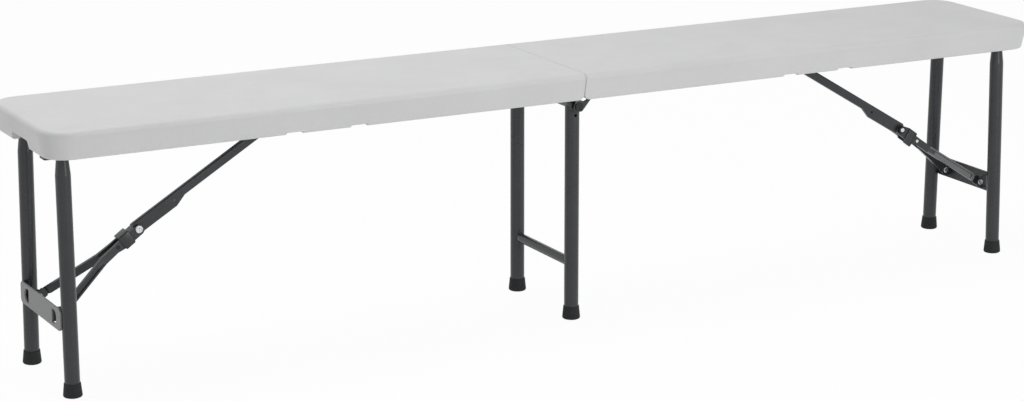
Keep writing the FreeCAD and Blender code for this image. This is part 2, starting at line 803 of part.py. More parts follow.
def make_brace_screw():
    """The screw in the back tongue of the right brace, with a cross in its head."""
    end = tongue_outer + brace_screw_head_height
    shank = bar_y(brace_screw_diameter / 2, 0, 0, tongue_inner, tongue_outer)
    head = bar_y(brace_screw_head / 2, 0, 0, tongue_outer, end)
    head = head.makeFillet(brace_screw_head_height * 0.5, edges_where(head, lambda p: p.y > end - 0.01))
    screw = head.fuse(shank).removeSplitter()
    across = brace_screw_cross / 5
    for x, z in ((brace_screw_cross, across), (across, brace_screw_cross)):
        screw = screw.cut(box(-x, x, end - brace_screw_head_height / 2, end + EPS, -z, z))
    screw.translate(Vector(brace_hinge_x, 0, brace_hinge_z))
    return screw


def make_brace_nut():
    """The nut on the front tongue of the right brace, with the end of the screw."""
    corner = brace_nut_width / math.sqrt(3)
    face = -tongue_outer - brace_nut_height
    points = []
    for index in range(6):
        a = math.radians(60 * index + 30)
        points.append(Vector(corner * math.cos(a), face, corner * math.sin(a)))
    nut = polygon_face(points).extrude(Vector(0, brace_nut_height, 0))
    stub = bar_y(brace_screw_diameter / 2, 0, 0, face - brace_screw_end, -tongue_inner)
    tip = edges_where(stub, lambda p: p.y < face - brace_screw_end + 0.01)
    nut = nut.fuse(stub.makeFillet(brace_screw_end * 0.9, tip)).removeSplitter()
    nut.translate(Vector(brace_hinge_x, 0, brace_hinge_z))
    return nut


def arm_side():
    """The side view of a lower arm, made thick: a round nose, a tall tongue and a lower bar."""
    r = tongue_height / 2
    low = tongue_top - tongue_height
    half = lower_arm_height / 2
    taper_end = tongue_straight + tongue_taper
    points = [
        Vector(0, 0, low), Vector(tongue_straight, 0, low), Vector(taper_end, 0, -half),
        Vector(lower_arm_length, 0, -half), Vector(lower_arm_length, 0, half), Vector(taper_end, 0, half),
        Vector(tongue_straight, 0, tongue_top), Vector(0, 0, tongue_top)]
    edges = [Part.makeLine(a, b) for a, b in zip(points, points[1:])]
    edges.append(Part.Arc(points[-1], Vector(-r, 0, -tongue_drop), points[0]).toShape())
    return Part.Face(Part.Wire(edges)).extrude(Vector(0, seat_width, 0))


def arm_rivet():
    """The small rivet beside the saddle, in the back lower arm before it is turned to its place."""
    share = (arm_rivet_place - tongue_straight) / (splay_start - tongue_straight)
    face = tongue_outer + (splay_start_reach - tongue_outer) * share
    end = face + arm_rivet_head_height
    head = bar_y(arm_rivet_head / 2, arm_rivet_place, 0, face - arm_rivet_seat, end)
    head = head.makeFillet(arm_rivet_head_height * 0.6, edges_where(head, lambda p: p.y > end - 0.01))
    shank = bar_y(arm_rivet_diameter / 2, arm_rivet_place, 0, tongue_outer - tongue_thickness / 2, face)
    return head.fuse(shank).removeSplitter()


def make_lower_arm():
    """The back lower arm: a flat tongue beside the upper arm, a grooved bar that splays out, and a tab."""
    tab_start = lower_arm_length - arm_tab_length
    tab_end = lower_arm_length + arm_tab_height / 2
    tab_outer = arm_tab_face + arm_tab_thickness
    outer = [(tongue_straight, tongue_outer), (splay_start, splay_start_reach), (tab_start, tab_outer)]
    inner = [
        (tongue_straight, tongue_inner), (splay_start, splay_start_reach - lower_arm_width),
        (tab_start - arm_tab_thickness, tab_outer - lower_arm_end_width), (tab_start, arm_tab_face)]
    plan = (
        [(-tongue_height, tongue_inner)] + inner + [(lower_arm_length, arm_tab_face)]
        + [(lower_arm_length, tab_outer)] + outer[::-1] + [(-tongue_height, tongue_outer)])
    bar = polygon_face([Vector(x, y, -tongue_height) for x, y in plan])
    bar = bar.extrude(Vector(0, 0, 2 * tongue_height)).common(arm_side())
    r = arm_tab_height / 2
    tab = rounded_block(
        tab_start + arm_tab_corner, tab_end, -r, r,
        [r - 0.1, arm_tab_corner, arm_tab_corner, r - 0.1], -tab_outer, -arm_tab_face)
    tab.rotate(Vector(0, 0, 0), Vector(1, 0, 0), 90)
    (x0, y0), (x1, y1) = outer[1:]
    slope = (y1 - y0) / (x1 - x0)
    x1 -= 2 * arm_tab_thickness
    y1 -= slope * 2 * arm_tab_thickness
    points = [
        (x0, y0 + EPS), (x1, y1 + EPS), (x1, y1 - groove_depth),
        (x0 + groove_run_in, y0 + slope * groove_run_in - groove_depth), (x0, y0)]
    groove = polygon_face([Vector(x, y, -groove_height / 2) for x, y in points])
    groove = groove.extrude(Vector(0, 0, groove_height))
    arm = bar.fuse(tab).cut([
        groove, arm_rivet(), bar_y(brace_screw_diameter / 2, 0, 0, 0, seat_width),
        bar_y(lug_rivet_diameter / 2 + running_clearance, lower_arm_length, 0, 0, seat_width)])
    return place_arm(arm.removeSplitter(), lower_arm_angle, brace_hinge_x, brace_hinge_z)


def make_arm_rivets():
    """The small rivets of both lower arms."""
    rivet = place_arm(arm_rivet(), lower_arm_angle, brace_hinge_x, brace_hinge_z)
    return Part.makeCompound([rivet, to_front(rivet)])


def make_lug_rivets():
    """The rivets that the lower arms turn on, one in each lug."""
    y0 = arm_tab_face - side_clearance
    y1 = lug_face + lug_thickness
    shape = bar_y(lug_rivet_diameter / 2, lug_pivot_x, plate_z, y0, y1)
    for start in (y0 - lug_rivet_head_height, y1):
        shape = shape.fuse(bar_y(
            lug_rivet_head / 2, lug_pivot_x, plate_z, start, start + lug_rivet_head_height))
    shape = shape.removeSplitter()
    low = y0 - lug_rivet_head_height
    high = y1 + lug_rivet_head_height
    shape = shape.makeFillet(
        lug_rivet_head_height * 0.5,
        edges_where(shape, lambda p: p.y < low + 0.01 or p.y > high - 0.01))
    return Part.makeCompound([shape, to_front(shape)])


def make_brace_rod():
    """The cross rod between the rails that carries the upper arm, with riveted ends."""
    shape = bar_y(brace_rod_diameter / 2, brace_rod_x, brace_rod_z, -rail_outer_face, rail_outer_face)
    for y in (-rail_outer_face - pivot_pin_head_height, rail_outer_face):
        shape = shape.fuse(bar_y(
            brace_rod_head / 2, brace_rod_x, brace_rod_z, y, y + pivot_pin_head_height))
    return shape.removeSplitter()


def make_rod_collars():
    """Collars on the rod that keep the upper arm in the middle."""
    start = eye_length / 2 + side_clearance
    collar = bar_y(collar_diameter / 2, brace_rod_x, brace_rod_z, start, start + collar_width)
    collar = collar.cut(bar_y(brace_rod_diameter / 2, brace_rod_x, brace_rod_z, 0, seat_width))
    return Part.makeCompound([collar, to_front(collar)])


# All pieces by name


def both_ends(pieces, name, shape):
    pieces[name + "_right"] = shape
    pieces[name + "_left"] = to_left(shape)


def turned_ends(pieces, name, shape):
    """A piece of which the left end has a copy turned half round, so that it is not a mirror image."""
    pieces[name + "_right"] = shape
    pieces[name + "_left"] = half_turned(shape)


def both_sides(pieces, name, end, shape):
    pieces[name + "_back_" + end] = shape
    pieces[name + "_front_" + end] = to_front(shape)


def make_pieces():
    pieces = {}
    both_ends(pieces, "seat", make_seat())
    both_ends(pieces, "rail_strips", make_rail_strips())
    both_ends(pieces, "rail_screws", make_rail_screws())
    both_ends(pieces, "brace_rod", make_brace_rod())
    both_ends(pieces, "rod_collars", make_rod_collars())
    both_ends(pieces, "leg_pivot_tube", make_pivot_tube())
    both_ends(pieces, "leg_pivot_pins", make_pivot_pins())
    turned_ends(pieces, "leg_stop_tabs", make_stop_tabs())
    both_ends(pieces, "cross_plate", make_cross_plate())
    both_ends(pieces, "brace_upper_arm", make_upper_arm())
    turned_ends(pieces, "brace_screw", make_brace_screw())
    turned_ends(pieces, "brace_nut", make_brace_nut())
    both_ends(pieces, "lug_rivets", make_lug_rivets())
    both_ends(pieces, "arm_rivets", make_arm_rivets())
    both_ends(pieces, "brace_saddle", make_saddle())
    for end, moved in (("right", lambda s: s), ("left", to_left)):
        both_sides(pieces, "side_rail", end, moved(make_rail()))
        both_sides(pieces, "leg", end, moved(make_end_leg()))
        both_sides(pieces, "foot", end, moved(make_end_foot()))
        both_sides(pieces, "brace_lower_arm", end, moved(make_lower_arm()))
        hinge_y = right_hinge_y if end == "right" else left_hinge_y
        both_sides(pieces, "hinge_plate", end, moved(make_hinge_plate(hinge_y)))
        pieces["hinge_rivets_" + end] = moved(make_hinge_rivets(hinge_y))
    both_sides(pieces, "leg", "middle", make_middle_leg())
    both_sides(pieces, "foot", "middle", make_middle_foot())
    pieces["crossbar_middle"] = make_crossbar()
    pieces["sleeve_middle"] = make_sleeve()
    pieces["hinge_axle"] = make_axle()
    pieces["axle_washers"] = make_axle_washers()
    return pieces


pieces = make_pieces()
os.makedirs("parts", exist_ok=True)
for name, shape in pieces.items():
    shape.exportStep("parts/" + name + ".step")
print(len(pieces), "nodes; brace rod at x =", round(brace_rod_x, 2))
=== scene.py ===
import math

import bmesh
import bpy
from mathutils import Euler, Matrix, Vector


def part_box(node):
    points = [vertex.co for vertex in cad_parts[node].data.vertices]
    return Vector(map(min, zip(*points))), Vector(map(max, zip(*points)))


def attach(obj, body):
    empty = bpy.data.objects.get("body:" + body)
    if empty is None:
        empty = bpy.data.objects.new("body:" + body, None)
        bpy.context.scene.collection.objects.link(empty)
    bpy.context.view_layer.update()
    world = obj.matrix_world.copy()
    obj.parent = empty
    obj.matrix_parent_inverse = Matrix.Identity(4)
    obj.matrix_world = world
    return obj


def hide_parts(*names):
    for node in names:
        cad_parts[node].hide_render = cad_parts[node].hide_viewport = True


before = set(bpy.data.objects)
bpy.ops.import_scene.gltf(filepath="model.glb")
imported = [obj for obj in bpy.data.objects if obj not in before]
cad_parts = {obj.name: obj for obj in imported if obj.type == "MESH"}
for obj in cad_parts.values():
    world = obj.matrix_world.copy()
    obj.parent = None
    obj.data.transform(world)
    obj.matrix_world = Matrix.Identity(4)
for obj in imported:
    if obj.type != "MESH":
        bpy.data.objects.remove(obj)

bl_info = {
    "name": "Folding Bench Finish",
    "version": (1, 0, 0),
    "blender": (4, 5, 0),
    "location": "View3D > Sidebar > Bench",
    "description": "Dresses a folding bench: moulded seat, coated steel, zinc and rubber feet",
    "category": "Object",
}

# The ends and sides of the bench, and which way each lies from its middle.
ENDS = {"left": -1, "right": 1}
SIDES = {"front": -1, "back": 1}

# The places of a Mix node's colour sockets, which share their names with its other sockets.
MIX_SHARE, MIX_FIRST, MIX_SECOND, MIX_RESULT = 0, 6, 7, 2

# Radius of the screw's end in the middle of the nut of a brace.
SCREW_END_MM = 4.02
# How deep the painted light on a cross plate reaches from its outer face: the outer face and its
# rim are painted a paler grey, as lit from the end of the bench. The rest keeps the dark tube coat,
# so its lugs are dark.
LIT_FACE_MM = 2.5

# Points round a weld seam and round the bead on it.
SEAM_STEPS = 28
BEAD_STEPS = 8
# The ripple of a bead: its height as a share of the radius, and its turn from point to point.
RIPPLE_HEIGHT, RIPPLE_TURN = 0.16, 2.1
# A direction that no point of a seam runs along.
ACROSS_SEAMS = Vector((0.13, 0.27, 0.95))

# Edges that turn by more than this stay crisp in the shading.
CRISP_ANGLE = math.radians(28)
# Edges of pressed steel that turn by more than this are softened, by the widths that follow.
CUT_ANGLE = math.radians(50)
PLATE_EDGE_MM = 0.4
SADDLE_EDGE_MM = 0.35
# Half of the centre hinge on the right half, in millimetres across and above the axle.
HINGE_PLATE_OUTLINE = [
    (-8.5, -6), (-5.5, -9), (6.5, -9), (34, 23), (66, 23), (66, 45), (22, 45), (22, 17),
    (12.5, 8.5), (9.5, 7.5), (5, 10), (-5, 10), (-9.5, 0)]
# Outer and inner radius of a bend in the saddle, as shares of the thickness of its sides.
OUTER_BEND, INNER_BEND = 1.6, 0.4
BEND_STEPS = 6
# The heights of the points on a rounded lower corner of the saddle, as shares of its radius.
CORNER_STEPS = (0, 0.05, 0.2, 0.5, 1)

# Each lamp's name, place and size in metres, and power in watts. All look at one point.
LAMPS = [
    ("key", (0.9, -3.5, 1.3), (1.2, 2.4), 42),
    ("side", (-3.2, 0.9, 1.1), (0.25, 2.2), 3),
    ("top", (-0.75, 0.4, 2.7), (1.3, 1.6), 25),
]
LAMP_AIM = Vector((0, 0, 0.3))
WORLD_LIGHT = 0.42
# How much of the floor is plain white to the camera. The rest keeps the shadow.
FLOOR_WHITE = 0.96
FLOOR_REACH = 30
FLOOR_GAP_MM = 0.5


# Small helpers

def linear(hex_colour):
    """An sRGB hex colour such as #a0a0a0 as the linear RGBA that shaders use."""
    channels = []
    for start in (1, 3, 5):
        value = int(hex_colour[start:start + 2], 16) / 255
        channels.append(value / 12.92 if value <= 0.04045 else ((value + 0.055) / 1.055) ** 2.4)
    return (*channels, 1.0)


def mm(value):
    """A length in millimetres as the metres of the scene."""
    return value / 1000


def add_node(tree, kind, settings=None, values=None, links=None, stops=None):
    """Adds a shader node, sets its properties and socket values, and links sockets to its inputs.

    Stops are the two (position, hex colour) pairs of a node that holds a ramp."""
    node = tree.nodes.new(kind)
    for key, value in (settings or {}).items():
        setattr(node, key, value)
    for key, value in (values or {}).items():
        node.inputs[key].default_value = value
    for key, socket in (links or {}).items():
        tree.links.new(socket, node.inputs[key])
    if stops:
        for element, (position, hex_colour) in zip(node.color_ramp.elements, stops):
            element.position, element.color = position, linear(hex_colour)
    return node


def new_material(name):
    """A material without nodes, and the tree that takes them."""
    material = bpy.data.materials.new(name)
    material.use_nodes = True
    material.node_tree.nodes.clear()
    return material, material.node_tree


def pattern_scale(size_mm):
    """The Scale of a noise or Voronoi texture whose features are this many millimetres wide."""
    return 1000 / size_mm


def direct_rays(tree):
    """1 for rays from the camera and for those seen in gloss or through glass, 0 for light."""
    rays = add_node(tree, "ShaderNodeLightPath")
    seen = add_node(tree, "ShaderNodeMath", settings={"operation": "MAXIMUM"}, links={
        0: rays.outputs["Is Camera Ray"], 1: rays.outputs["Is Glossy Ray"]})
    return add_node(tree, "ShaderNodeMath", settings={"operation": "MAXIMUM"}, links={
        0: seen.outputs[0], 1: rays.outputs["Is Transmission Ray"]}).outputs[0]


def dress(nodes, material):
    """Puts one material in every slot of the named CAD nodes."""
    for name in nodes:
        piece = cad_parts[name]
        if not piece.material_slots:
            piece.data.materials.append(material)
        for slot in piece.material_slots:
            slot.material = material


def named(*starts):
    """The names of all CAD nodes that begin with one of these words."""
    return [name for name in sorted(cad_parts) if name.startswith(starts)]


def middle(node):
    """The middle of a CAD node's box."""
    low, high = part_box(node)
    return (low + high) / 2


def mesh_piece(name, build, body, material):
    """Makes an object from a function that fills a bmesh, and lets it ride on a body."""
    mesh = bpy.data.meshes.new(name)
    shape = bmesh.new()
    build(shape)
    bmesh.ops.recalc_face_normals(shape, faces=shape.faces)
    # A bevel's order changes from run to run, so corners and faces are put in order by place.
    verts = sorted(shape.verts, key=lambda vert: vert.co[:])
    numbers = {vert: number for number, vert in enumerate(verts)}
    faces = sorted([numbers[vert] for vert in face.verts] for face in shape.faces)
    mesh.from_pydata([vert.co[:] for vert in verts], [], faces)
    shape.free()
    for face in mesh.polygons:
        face.use_smooth = True
    mesh.set_sharp_from_angle(angle=CRISP_ANGLE)
    piece = bpy.data.objects.new(name, mesh)
    bpy.context.scene.collection.objects.link(piece)
    mesh.materials.append(material)
    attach(piece, body)
    return piece


# Materials

def moulded_polyethylene(settings):
    """Blow moulded high density polyethylene: pale grey and waxy, with the mould's pebble grain."""
    material, tree = new_material("moulded_polyethylene")
    place = add_node(tree, "ShaderNodeTexCoord").outputs["Object"]
    # Slow clouds in the pigment, about a hand wide.
    clouds = add_node(tree, "ShaderNodeTexNoise", values={
        "Scale": pattern_scale(110), "Detail": 3.0, "Roughness": 0.55}, links={"Vector": place})
    tint = add_node(tree, "ShaderNodeValToRGB", links={"Fac": clouds.outputs["Fac"]}, stops=[
        (0.3, settings.shade_hex), (0.7, settings.colour_hex)])
    # The mould's grain is under a millimetre; it is drawn at the settings' size so that it shows.
    pebbles = add_node(tree, "ShaderNodeTexVoronoi", values={
        "Scale": pattern_scale(settings.grain_mm), "Randomness": 1.0}, links={"Vector": place})
    fine = add_node(tree, "ShaderNodeTexNoise", values={
        "Scale": pattern_scale(settings.grain_mm * 0.6), "Detail": 2.0}, links={"Vector": place})
    height = add_node(tree, "ShaderNodeMath", settings={"operation": "ADD"}, links={
        0: pebbles.outputs["Distance"], 1: fine.outputs["Fac"]})
    bump = add_node(tree, "ShaderNodeBump", values={"Strength": 0.22, "Distance": mm(0.35)}, links={
        "Height": height.outputs[0]})
    # Rubbed patches shine a little more than the grain around them.
    rubbed = add_node(tree, "ShaderNodeTexNoise", values={
        "Scale": pattern_scale(60), "Detail": 6.0, "Roughness": 0.6}, links={"Vector": place})
    gloss = add_node(tree, "ShaderNodeMapRange", values={
        "From Min": 0.3, "From Max": 0.7, "To Min": 0.40, "To Max": 0.52}, links={
        "Value": rubbed.outputs["Fac"]})
    shader = add_node(tree, "ShaderNodeBsdfPrincipled", values={
        "IOR": 1.54, "Subsurface Weight": 0.06, "Subsurface Scale": mm(4)}, links={
        "Base Color": tint.outputs["Color"], "Roughness": gloss.outputs["Result"],
        "Normal": bump.outputs["Normal"]})
    add_node(tree, "ShaderNodeOutputMaterial", links={"Surface": shader.outputs["BSDF"]})
    return material


def powder_coat(name, base_hex, shade_hex, peel_mm, roughness, inner_hex=None, inner_reach=0.0):
    """Baked polyester powder on steel: even colour, soft sheen, the slight ripple of orange peel.

    An inner colour takes the place of the other nearer to the middle of the bench than a reach."""
    material, tree = new_material(name)
    place = add_node(tree, "ShaderNodeTexCoord").outputs["Object"]
    # Thickness of the coat varies over a few centimetres, which shifts its tone slightly.
    drift = add_node(tree, "ShaderNodeTexNoise", values={
        "Scale": pattern_scale(45), "Detail": 4.0, "Roughness": 0.6}, links={"Vector": place})
    tint = add_node(tree, "ShaderNodeValToRGB", links={"Fac": drift.outputs["Fac"]}, stops=[
        (0.32, shade_hex), (0.68, base_hex)]).outputs["Color"]
    if inner_hex:
        away = add_node(tree, "ShaderNodeVectorMath", settings={"operation": "ABSOLUTE"}, links={
            0: place})
        along = add_node(tree, "ShaderNodeSeparateXYZ", links={"Vector": away.outputs["Vector"]})
        inside = add_node(tree, "ShaderNodeMath", settings={"operation": "LESS_THAN"}, values={
            1: inner_reach}, links={0: along.outputs["X"]})
        tint = add_node(tree, "ShaderNodeMix", settings={"data_type": "RGBA"}, values={
            MIX_SECOND: linear(inner_hex)}, links={
            MIX_SHARE: inside.outputs["Value"], MIX_FIRST: tint}).outputs[MIX_RESULT]
    # Orange peel is 1 to 3 mm across, so it is drawn at its real size.
    peel = add_node(tree, "ShaderNodeTexNoise", values={
        "Scale": pattern_scale(peel_mm), "Detail": 1.5, "Roughness": 0.4}, links={"Vector": place})
    bump = add_node(tree, "ShaderNodeBump", values={"Strength": 0.035, "Distance": mm(0.2)}, links={
        "Height": peel.outputs["Fac"]})
    sheen = add_node(tree, "ShaderNodeMapRange", values={
        "From Min": 0.3, "From Max": 0.7,
        "To Min": roughness - 0.03, "To Max": roughness + 0.04}, links={
        "Value": drift.outputs["Fac"]})
    shader = add_node(tree, "ShaderNodeBsdfPrincipled", values={
        "IOR": 1.5, "Specular IOR Level": 0.42}, links={
        "Base Color": tint, "Roughness": sheen.outputs["Result"],
        "Normal": bump.outputs["Normal"]})
    add_node(tree, "ShaderNodeOutputMaterial", links={"Surface": shader.outputs["BSDF"]})
    return material


def zinc_plate(settings):
    """Bright zinc over steel: silvery, with a faintly cloudy passivation."""
    material, tree = new_material("zinc_plate")
    place = add_node(tree, "ShaderNodeTexCoord").outputs["Object"]
    cloud = add_node(tree, "ShaderNodeTexNoise", values={
        "Scale": pattern_scale(4), "Detail": 3.0}, links={"Vector": place})
    tint = add_node(tree, "ShaderNodeValToRGB", links={"Fac": cloud.outputs["Fac"]}, stops=[
        (0.3, settings.shade_hex), (0.7, settings.colour_hex)])
    gloss = add_node(tree, "ShaderNodeMapRange", values={
        "From Min": 0.3, "From Max": 0.7, "To Min": 0.28, "To Max": 0.42}, links={
        "Value": cloud.outputs["Fac"]})
    shader = add_node(tree, "ShaderNodeBsdfPrincipled", values={"Metallic": 1.0}, links={
        "Base Color": tint.outputs["Color"], "Roughness": gloss.outputs["Result"]})
    add_node(tree, "ShaderNodeOutputMaterial", links={"Surface": shader.outputs["BSDF"]})
    return material


def black_zinc(name, settings, bright_share=None):
    """Black zinc over steel: dark and smoky with a metal's gleam.

    A function for the bright share adds nodes and returns a socket, 1 where the zinc is bright."""
    material, tree = new_material(name)
    place = add_node(tree, "ShaderNodeTexCoord").outputs["Object"]
    smoke = add_node(tree, "ShaderNodeTexNoise", values={
        "Scale": pattern_scale(5), "Detail": 3.0}, links={"Vector": place})
    tint = add_node(tree, "ShaderNodeValToRGB", links={"Fac": smoke.outputs["Fac"]}, stops=[
        (0.3, settings.black_shade_hex), (0.7, settings.black_hex)]).outputs["Color"]
    if bright_share:
        tint = add_node(tree, "ShaderNodeMix", settings={"data_type": "RGBA"}, values={
            MIX_SECOND: linear(settings.colour_hex)}, links={
            MIX_SHARE: bright_share(tree, place), MIX_FIRST: tint}).outputs[MIX_RESULT]
    shader = add_node(tree, "ShaderNodeBsdfPrincipled", values={
        "Metallic": 1.0, "Roughness": 0.4}, links={"Base Color": tint})
    add_node(tree, "ShaderNodeOutputMaterial", links={"Surface": shader.outputs["BSDF"]})
    return material


def screw_end_share(tree, place):
    """1 within the radius of the screw's end in the middle of the nut of either brace."""
    folded = add_node(tree, "ShaderNodeVectorMath", settings={"operation": "ABSOLUTE"}, links={
        0: place})
    offset = add_node(tree, "ShaderNodeVectorMath", settings={"operation": "SUBTRACT"}, values={
        1: middle("brace_screw_right")}, links={0: folded.outputs["Vector"]})
    flat = add_node(tree, "ShaderNodeVectorMath", settings={"operation": "MULTIPLY"}, values={
        1: (1, 0, 1)}, links={0: offset.outputs["Vector"]})
    reach = add_node(tree, "ShaderNodeVectorMath", settings={"operation": "LENGTH"}, links={
        0: flat.outputs["Vector"]})
    return add_node(tree, "ShaderNodeMath", settings={"operation": "LESS_THAN"}, values={
        1: mm(SCREW_END_MM)}, links={0: reach.outputs["Value"]}).outputs["Value"]


def turned_head_share(tree, place):
    """1 at the front of the right end and the back of the left end, where rivet heads are bare."""
    apart = add_node(tree, "ShaderNodeSeparateXYZ", links={"Vector": place})
    side = add_node(tree, "ShaderNodeMath", settings={"operation": "MULTIPLY"}, links={
        0: apart.outputs["X"], 1: apart.outputs["Y"]})
    return add_node(tree, "ShaderNodeMath", settings={"operation": "LESS_THAN"}, values={
        1: 0.0}, links={0: side.outputs["Value"]}).outputs["Value"]


def moulded_rubber(settings):
    """Carbon filled rubber, pressed in a mould: nearly black and matt, with a dusty bloom."""
    material, tree = new_material("moulded_rubber")
    place = add_node(tree, "ShaderNodeTexCoord").outputs["Object"]
    bloom = add_node(tree, "ShaderNodeTexNoise", values={
        "Scale": pattern_scale(9), "Detail": 5.0, "Roughness": 0.65}, links={"Vector": place})
    tint = add_node(tree, "ShaderNodeValToRGB", links={"Fac": bloom.outputs["Fac"]}, stops=[
        (0.35, settings.colour_hex), (0.75, settings.bloom_hex)])
    # The mould's grain is finer; it is drawn 1.5 mm wide so that it shows.
    grain = add_node(tree, "ShaderNodeTexNoise", values={
        "Scale": pattern_scale(1.5), "Detail": 2.0}, links={"Vector": place})
    bump = add_node(tree, "ShaderNodeBump", values={"Strength": 0.3, "Distance": mm(0.2)}, links={
        "Height": grain.outputs["Fac"]})
    shader = add_node(tree, "ShaderNodeBsdfPrincipled", values={
        "IOR": 1.52, "Roughness": 0.72, "Specular IOR Level": 0.3}, links={
        "Base Color": tint.outputs["Color"], "Normal": bump.outputs["Normal"]})
    add_node(tree, "ShaderNodeOutputMaterial", links={"Surface": shader.outputs["BSDF"]})
    return material


def steel_material(settings):
    """The coat of the tubes, made once and shared by all that carries it."""
    found = bpy.data.materials.get("powder_coat_anthracite")
    return found or powder_coat(
        "powder_coat_anthracite", settings.colour_hex, settings.shade_hex, settings.peel_mm,
        roughness=0.28)


# Weld beads

def bead(path, radius):
    """Returns a function that fills a bmesh with a rippled bead along a closed path of points."""
    def build(shape):
        rings = []
        for index, point in enumerate(path):
            along = (path[(index + 1) % len(path)] - path[index - 1]).normalized()
            side = along.cross(ACROSS_SEAMS).normalized()
            across = along.cross(side)
            swell = radius * (1 + RIPPLE_HEIGHT * math.sin(index * RIPPLE_TURN))
            ring = []
            for step in range(BEAD_STEPS):
                turn = math.tau * step / BEAD_STEPS
                offset = side * math.cos(turn) + across * math.sin(turn)
                ring.append(shape.verts.new(point + offset * swell))
            rings.append(ring)
        for ring, following in zip(rings, rings[1:] + rings[:1]):
            for step in range(BEAD_STEPS):
                other = (step + 1) % BEAD_STEPS
                shape.faces.new((ring[step], ring[other], following[other], following[step]))
    return build


def seam(radius, point):
    """A closed path round a tube, from a function of the two places across the tube."""
    turns = [math.tau * step / SEAM_STEPS for step in range(SEAM_STEPS)]
    return [Vector(point(radius * math.cos(turn), radius * math.sin(turn))) for turn in turns]


def crossbar_seam(side, bar_radius, leg_radius, leg_y, height):
    """Where the crossbar meets a middle leg."""
    return seam(bar_radius, lambda x, z: (
        x, side * (leg_y - math.sqrt(leg_radius ** 2 - x ** 2)), height + z))


def neck_seam(end, side, neck_radius, tube_radius, leg_x, leg_y, height):
    """Where the top of an end leg meets its cross tube."""
    return seam(neck_radius, lambda x, y: (
        end * leg_x + x, side * leg_y + y, height - math.sqrt(tube_radius ** 2 - x ** 2)))


# Pressed steel

def soften(shape, radius):
    """Takes the sharpness off the cut edges of pressed steel."""
    bmesh.ops.recalc_face_normals(shape, faces=shape.faces)
    sharp = [edge for edge in shape.edges if edge.calc_face_angle(0) > CUT_ANGLE]
    bmesh.ops.bevel(shape, geom=sharp, offset=radius, segments=2, profile=0.5, affect="EDGES")


def pressed_plate(outline, near, far, corner):
    """Returns a function that fills a bmesh with an upright plate along the bench."""
    def build(shape):
        first, second = [
            [shape.verts.new((x, y, z)) for x, z in outline] for y in (near, far)]
        across = [shape.edges.new(pair) for pair in zip(first, second)]
        for index, vert in enumerate(first):
            shape.faces.new((first[index - 1], vert, second[index], second[index - 1]))
        shape.faces.new(first)
        shape.faces.new(second[::-1])
        bmesh.ops.bevel(
            shape, geom=across, offset=corner, segments=3, profile=0.5, affect="EDGES")
        soften(shape, mm(PLATE_EDGE_MM))
    return build


def across_saddle(reach, top, bend, low_ends, rounding):
    """The (across, above) points of a line over both lower arms between the saddle's free ends."""
    steps = [rounding * share for share in CORNER_STEPS]
    line = [(-reach, low_ends[0] + step) for step in steps]
    for side, turns in ((-1, range(BEND_STEPS + 1)), (1, range(BEND_STEPS, -1, -1))):
        for turn in turns:
            angle = math.pi / 2 * turn / BEND_STEPS
            line.append((side * (reach - bend + bend * math.cos(angle)),
                         top - bend + bend * math.sin(angle)))
    return line + [(reach, low_ends[1] + step) for step in reversed(steps)]


def bent_saddle(settings, end):
    """Returns a function that fills a bmesh with the strap bent over one brace's lower arms."""
    hinge = middle("brace_screw_right")
    pivot = middle("lug_rivets_right")
    along = Vector((pivot.x - hinge.x, 0, pivot.z - hinge.z)).normalized()
    above = Vector((-along.z, 0, along.x))
    low_ends = (-settings.saddle_long_side, -settings.saddle_short_side)
    rounding = settings.saddle_corner
    outer = across_saddle(
        settings.saddle_inner + settings.saddle_plate,
        settings.saddle_underside + settings.saddle_top,
        settings.saddle_plate * OUTER_BEND, low_ends, rounding)
    inner = across_saddle(
        settings.saddle_inner, settings.saddle_underside,
        settings.saddle_plate * INNER_BEND, low_ends, rounding)

    def build(shape):
        rings = []
        for index, (outside, inside) in enumerate(zip(outer, inner)):
            low_end = low_ends[0 if index < len(outer) / 2 else 1]
            to_end = min(outside[1] - low_end, rounding)
            trim = rounding - math.sqrt(rounding ** 2 - (rounding - to_end) ** 2)
            start = settings.saddle_start + trim
            finish = settings.saddle_start + settings.saddle_length - trim
            ring = []
            for reach, point in (
                    (start, outside), (finish, outside), (finish, inside), (start, inside)):
                place = along * reach + above * point[1]
                ring.append(shape.verts.new((
                    end * (hinge.x + place.x), end * point[0], hinge.z + place.z)))
            rings.append(ring)
        for ring, following in zip(rings, rings[1:]):
            for corner in range(4):
                shape.faces.new((
                    ring[corner], ring[corner - 1], following[corner - 1], following[corner]))
        shape.faces.new(rings[0])
        shape.faces.new(rings[-1][::-1])
        soften(shape, mm(SADDLE_EDGE_MM))
    return build


# Settings

class BenchSeatSettings(bpy.types.PropertyGroup):
    """Colours and grain of the seat"""
    colour_hex: bpy.props.StringProperty(
        name="Colour", description="Main colour of the moulded seat", default="#d5d5d5")
    shade_hex: bpy.props.StringProperty(
        name="Shade", description="Darker tone of the clouds in the pigment", default="#d1d1d1")
    grain_mm: bpy.props.FloatProperty(
        name="Grain", description="Width of a pebble of the mould's grain, in millimetres",
        default=3.2, min=0.5, max=10.0)


